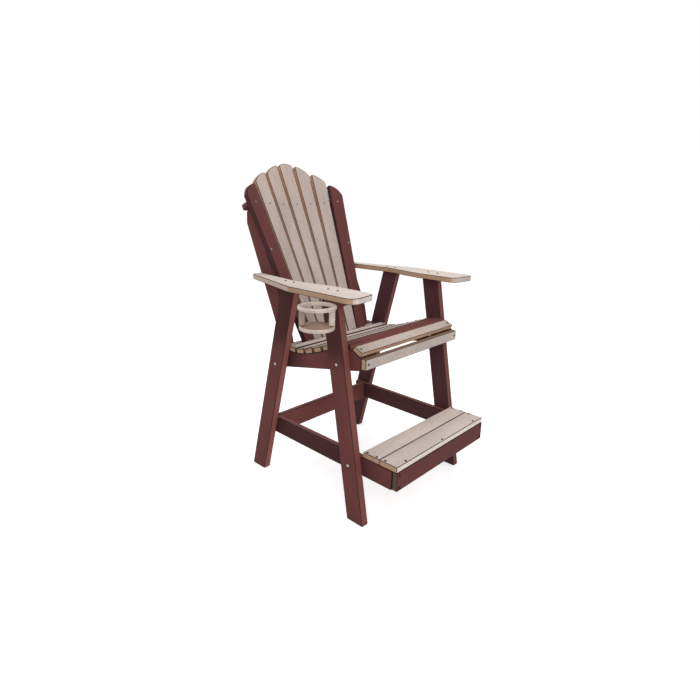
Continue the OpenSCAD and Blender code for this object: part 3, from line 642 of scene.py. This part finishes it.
# %% [markdown]
# All the small fasteners are made upright on the origin and then moved to their places. This is
# the helper that turns a finished shape into its own set of copies, joins them, and stands them in
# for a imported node.

# %% Set copies of a fastener
def set_fasteners(pattern, name, places):
    """Copies the pattern to each point and direction, and joins the copies for the node."""
    copies = []
    for number, (point, direction) in enumerate(places):
        copy = bpy.data.objects.new(f"{name}_{number}", pattern.data.copy())
        scene.collection.objects.link(copy)
        aimed = direction.to_track_quat("Z", "Y").to_matrix().to_4x4()
        turned = Matrix.Rotation(number * 0.7, 4, "Z")
        copy.data.transform(Matrix.Translation(point) @ aimed @ turned)
        copies.append(copy)
    only(copies[0])
    for copy in copies:
        copy.select_set(True)
    bpy.ops.object.join()
    group = bpy.context.object
    group.name = name + "_finished"
    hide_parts(name)
    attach(group, "root")
    print(name, "set:", len(places), "of", len(group.data.polygons) // len(places), "faces")


# %% [markdown]
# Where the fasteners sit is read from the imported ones. Each is a loose solid of its node: its axis
# is the direction in which it is longest, and its head is at the end where its points lie furthest
# from the axis.

# %% Find where fasteners sit
def solids_of(name):
    """Each loose solid of a node as an array of its points."""
    copy = bpy.data.objects.new("probe", nodes[name].data.copy())
    scene.collection.objects.link(copy)
    only(copy)
    bpy.ops.object.mode_set(mode="EDIT")
    bpy.ops.mesh.select_all(action="SELECT")
    bpy.ops.mesh.remove_doubles(threshold=same_point)
    bpy.ops.mesh.separate(type="LOOSE")
    bpy.ops.object.mode_set(mode="OBJECT")
    parts = list(bpy.context.selected_objects)
    found = [np.array([v.co[:] for v in part.data.vertices]) for part in parts]
    for part in parts:
        bpy.data.objects.remove(part)
    return found


def head_places(name):
    """The point under each head and the direction out of it, with the heads' radius and height."""
    places = []
    for points in solids_of(name):
        middle = (points.max(0) + points.min(0)) / 2
        axis = np.linalg.svd(points - points.mean(0), full_matrices=False)[2][0]
        along = (points - middle) @ axis
        core = middle + np.outer(along, axis)
        away = np.linalg.norm(points - core - (points - core).mean(0), axis=1)
        wide = away > away.max() * 0.95
        if along[wide].mean() < 0:
            axis, along = -axis, -along
        rim = points[wide & (along > along.max() - 1e-5)]
        height = float(along.max() - along[wide].min())
        places.append((Vector(rim.mean(0) - axis * height), Vector(axis)))
    return places, float(away.max()), height


screw_spots = {name: head_places(name) for name in screw_finish}
for name, (places, radius, height) in screw_spots.items():
    print(name, len(places), "head radius", round(radius, 4), "height", round(height, 4))


# %% [markdown]
# The screws have low domed heads with a star-shaped socket. One is made from a cylinder: its top
# is drawn in twice for the dome, the star is an inset ring whose points are pulled in six times
# round, and the socket and the shank are extruded.

# %% Model one screw
def model_screw(radius, height, head_steel, shank=0.02, points=6):
    """An upright screw, the underside of its head at the origin."""
    bpy.ops.object.select_all(action="DESELECT")
    bpy.ops.mesh.primitive_cylinder_add(vertices=24, radius=radius, depth=height * 0.5,
                                        location=(0, 0, height * 0.25))
    screw = bpy.context.object
    screw.data.materials.append(head_steel)
    screw.data.materials.append(socket_shade)
    bpy.ops.object.transform_apply()
    bpy.ops.object.mode_set(mode="EDIT")
    pick_faces(screw.data, lambda face: face.normal.z > 0.9)
    for rise, shrink in ((0.3, 0.86), (0.2, 0.7)):
        bpy.ops.mesh.extrude_region_move(TRANSFORM_OT_translate={"value": (0, 0, height * rise)})
        bpy.ops.transform.resize(value=(shrink, shrink, 1))
    bpy.ops.mesh.inset(thickness=radius * 0.06)
    work = bmesh.from_edit_mesh(screw.data)
    for vertex in work.verts:
        if vertex.select:
            turn = math.atan2(vertex.co.y, vertex.co.x)
            vertex.co.xy *= 0.84 + 0.16 * math.cos(points * turn)
    bmesh.update_edit_mesh(screw.data)
    screw.active_material_index = 1
    bpy.ops.mesh.extrude_region_move(TRANSFORM_OT_translate={"value": (0, 0, -height * 0.7)})
    bpy.ops.object.material_slot_assign()
    pick_faces(screw.data, lambda face: face.normal.z < -0.9 and face.calc_center_median().z < 1e-6)
    bpy.ops.mesh.inset(thickness=radius * 0.55)
    bpy.ops.mesh.extrude_region_move(TRANSFORM_OT_translate={"value": (0, 0, -shank)})
    bpy.ops.object.mode_set(mode="OBJECT")
    bpy.ops.object.shade_smooth_by_angle(angle=math.radians(35))
    return screw


for name, (places, radius, height) in screw_spots.items():
    screw = model_screw(radius, height, screw_finish[name])
    set_fasteners(screw, name, places)
    bpy.data.objects.remove(screw)

# %% [markdown]
# Carriage bolts hold the legs to the seat sides and to the rails: a smooth domed head outside, and
# inside a washer, a hex nut and the end of the thread. The dome is a profile spun round the axis.
# The nut is a six-sided cylinder whose corners are bevelled, and it stands on a flat washer.

# %% Model one bolt
bolt_places, bolt_radius, bolt_height = head_places("frame_bolts")
bolt_axis = np.array(bolt_places[0][1])
bolt_length = max(np.ptp(points @ bolt_axis) for points in solids_of("frame_bolts"))


def model_bolt(radius, height, length, shank=0.0038):
    """An upright bolt, the underside of its head at the origin."""
    bpy.ops.object.select_all(action="DESELECT")
    profile = bpy.data.meshes.new("bolt")
    arc = [math.radians(angle) for angle in range(0, 90, 12)]
    dome = [(radius * math.cos(a), height * (0.25 + 0.75 * math.sin(a))) for a in arc]
    outline = [(0.0, -length), (shank, -length), (shank, 0), (radius, 0), *dome, (0.0, height)]
    links = [(number, number + 1) for number in range(len(outline) - 1)]
    profile.from_pydata([(x, 0, z) for x, z in outline], links, [])
    bolt = bpy.data.objects.new("bolt", profile)
    scene.collection.objects.link(bolt)
    bolt.data.materials.append(bolt_steel)
    only(bolt)
    bpy.ops.object.mode_set(mode="EDIT")
    bpy.ops.mesh.select_all(action="SELECT")
    bpy.ops.mesh.spin(steps=32, angle=math.tau, center=(0, 0, 0), axis=(0, 0, 1))
    bpy.ops.mesh.select_all(action="SELECT")
    bpy.ops.mesh.remove_doubles(threshold=same_point)
    bpy.ops.mesh.normals_make_consistent(inside=False)
    bpy.ops.object.mode_set(mode="OBJECT")
    bpy.ops.object.shade_smooth_by_angle(angle=math.radians(35))
    return bolt


bolt = model_bolt(bolt_radius, bolt_height, bolt_length - bolt_height)
set_fasteners(bolt, "frame_bolts", bolt_places)
bpy.data.objects.remove(bolt)
print("bolt head radius", round(bolt_radius, 4), "height", round(bolt_height, 4),
      "length", round(float(bolt_length), 4))


# %% Model one nut
def model_nut(radius, height):
    """An upright nut with its washer, whose underside is at the origin."""
    washer_height = height * 0.17
    bpy.ops.object.select_all(action="DESELECT")
    bpy.ops.mesh.primitive_cylinder_add(vertices=6, radius=radius, depth=height * 0.82,
                                        location=(0, 0, height * 0.59))
    nut = bpy.context.object
    nut.data.materials.append(bolt_steel)
    bpy.ops.object.transform_apply()
    bpy.ops.object.mode_set(mode="EDIT")
    pick_faces(nut.data, lambda face: face.normal.z > 0.9)
    bpy.ops.mesh.inset(thickness=radius * 0.34)
    bpy.ops.mesh.extrude_region_move(TRANSFORM_OT_translate={"value": (0, 0, -height * 0.06)})
    bpy.ops.mesh.inset(thickness=radius * 0.05)
    bpy.ops.mesh.extrude_region_move(TRANSFORM_OT_translate={"value": (0, 0, height * 0.06)})
    pick_faces(nut.data, lambda face: face.normal.z < -0.9)
    bpy.ops.mesh.extrude_region_move(TRANSFORM_OT_translate={"value": (0, 0, -height * 0.02)})
    bpy.ops.object.mode_set(mode="OBJECT")
    only(nut)
    bpy.ops.object.modifier_add(type="BEVEL")
    nut.modifiers[-1].width = height * 0.09
    nut.modifiers[-1].segments = 2
    nut.modifiers[-1].angle_limit = math.radians(50)
    bpy.ops.object.modifier_apply(modifier=nut.modifiers[-1].name)
    bpy.ops.object.select_all(action="DESELECT")
    bpy.ops.mesh.primitive_cylinder_add(vertices=32, radius=radius, depth=washer_height,
                                        location=(0, 0, washer_height / 2))
    washer = bpy.context.object
    washer.data.materials.append(bolt_steel)
    bpy.ops.object.transform_apply()
    nut.select_set(True)
    bpy.context.view_layer.objects.active = nut
    bpy.ops.object.join()
    bpy.ops.object.shade_smooth_by_angle(angle=math.radians(30))
    return nut


nut_places = []
for points in solids_of("frame_nuts"):
    centre = (points.max(0) + points.min(0)) / 2
    away = 1.0 if centre[0] < middle_x else -1.0
    face_x = points[:, 0].min() if away > 0 else points[:, 0].max()
    nut_places.append((Vector((face_x, centre[1], centre[2])), Vector((away, 0, 0))))
nut_points = solids_of("frame_nuts")[0]
nut_height = float(np.ptp(nut_points[:, 0]))
hexagon = nut_points[:, 1:]
nut_radius = float(np.hypot(*(hexagon - (hexagon.max(0) + hexagon.min(0)) / 2).T).max())
nut = model_nut(nut_radius, nut_height)
set_fasteners(nut, "frame_nuts", nut_places)
bpy.data.objects.remove(nut)
print("nut radius", round(nut_radius, 4), "height", round(nut_height, 4))

# %% [markdown]
# The chair stands on a plain pale floor in soft light. The photo's ground is white. More light
# would get there too, but it would wash out the chair. So the floor and the sky are lifted for the
# camera's own rays only, and the chair is lit at a plain level and keeps its soft shadow.

# %% Floor
floor_lift = 0.6
bpy.ops.object.select_all(action="DESELECT")
bpy.ops.mesh.primitive_plane_add(size=80, location=(0, 0, 0))
floor = bpy.context.object
floor.name = "studio_floor"
pale, tree, shader = new_finish("pale_floor")
shader.inputs["Base Color"].default_value = (0.8, 0.8, 0.8, 1)
shader.inputs["Roughness"].default_value = 0.9
shader.inputs["Specular IOR Level"].default_value = 0.0
shader.inputs["Emission Color"].default_value = (1, 1, 1, 1)
path = add_node(tree, "ShaderNodeLightPath", (-700, 0))
lift = add_node(tree, "ShaderNodeMath", (-400, 0), operation="MULTIPLY")
lift.inputs[1].default_value = floor_lift
tree.links.new(path.outputs["Is Camera Ray"], lift.inputs[0])
tree.links.new(lift.outputs[0], shader.inputs["Emission Strength"])
floor.data.materials.append(pale)
floor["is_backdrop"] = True
print("floor size:", [round(c) for c in floor.dimensions])

# %% Sky
sky_level = 0.5
sky = bpy.data.worlds.new("studio_sky")
scene.world = sky
sky.use_nodes = True
tree = sky.node_tree
glow = tree.nodes["Background"]
glow.inputs["Color"].default_value = (1, 1, 1, 1)
path = add_node(tree, "ShaderNodeLightPath", (-900, 0))
level = add_node(tree, "ShaderNodeMapRange", (-300, 0))
level.inputs["To Min"].default_value = sky_level
level.inputs["To Max"].default_value = 1.0
seen = path.outputs["Is Camera Ray"]
for number, ray in enumerate(("Is Glossy Ray", "Is Transmission Ray")):
    either = add_node(tree, "ShaderNodeMath", (-700 + 200 * number, 0), operation="MAXIMUM")
    tree.links.new(seen, either.inputs[0])
    tree.links.new(path.outputs[ray], either.inputs[1])
    seen = either.outputs[0]
tree.links.new(seen, level.inputs["Value"])
tree.links.new(level.outputs["Result"], glow.inputs["Strength"])
print("sky lights the chair at", sky_level)


# %% [markdown]
# Three large soft lamps light the chair. The key stands near the camera and lights the front and
# the side about equally, as in the photo. A lamp overhead, a little behind the chair, makes the
# arms and the footrest the palest, and a weak one behind keeps the far side and the back from
# going dull in other views.

# %% Lamps
def lamp(name, at, size, power, aim=(0.07, 0.0, 0.7)):
    """A square soft lamp that looks at the middle of the chair."""
    light = bpy.data.lights.new(name, "AREA")
    light.size = size
    light.energy = power
    holder = bpy.data.objects.new(name, light)
    holder.location = at
    holder.rotation_euler = (Vector(aim) - Vector(at)).to_track_quat("-Z", "Y").to_euler()
    scene.collection.objects.link(holder)
    print(name, "at", at, "power", power)


lamp("key_lamp", (-2.7, -2.9, 2.7), 2.6, 70)
lamp("top_lamp", (-0.2, 0.65, 4.1), 2.2, 57)
lamp("back_lamp", (3.2, 2.4, 2.4), 2.6, 18)

# %% [markdown]
# The camera stands where the photographer stood, about 1.3 m above the ground and to the sitter's
# front right. Its place and lens come from two fits to the photo, first of lines along the boards'
# edges and then of the chair's outline. The values are in pixels of a square picture, and the lens
# shift stands for the way it was cropped.

# %% Camera
turn, tilt, roll = (math.radians(a) for a in (44.27973, 13.97884, 0.88568))
stand = (-1.69428, -1.57309, 1.33617)
focal, centre_x, centre_y, picture = 507.258, 332.537, 319.357, 700
look = Vector((math.cos(turn) * math.cos(tilt), math.sin(turn) * math.cos(tilt), -math.sin(tilt)))
flat_right = Vector((math.sin(turn), -math.cos(turn), 0))
flat_up = flat_right.cross(look)
right = math.cos(roll) * flat_right + math.sin(roll) * flat_up
up = -math.sin(roll) * flat_right + math.cos(roll) * flat_up
lens = bpy.data.cameras.new("photo_camera")
lens.sensor_width = 36
lens.lens = focal / picture * lens.sensor_width
lens.shift_x = (picture / 2 - centre_x) / picture
lens.shift_y = (centre_y - picture / 2) / picture
camera = bpy.data.objects.new("photo_camera", lens)
scene.collection.objects.link(camera)
aimed = Matrix((right, up, -look)).transposed().to_4x4()
camera.matrix_world = Matrix.Translation(stand) @ aimed
scene.camera = camera
scene.view_settings.view_transform = "Standard"
print("camera", [round(c, 2) for c in camera.location], "lens", round(lens.lens, 2), "mm")

# %% [markdown]
# How much the dressed chair has grown over the imported one is printed. The dressed chair may not
# outgrow the imported one.

# %% Compare the sizes
new_low, new_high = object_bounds()
growth = (new_high - new_low) - (cad_high - cad_low)
print("grown by", [round(c * 1000, 1) for c in growth], "mm")
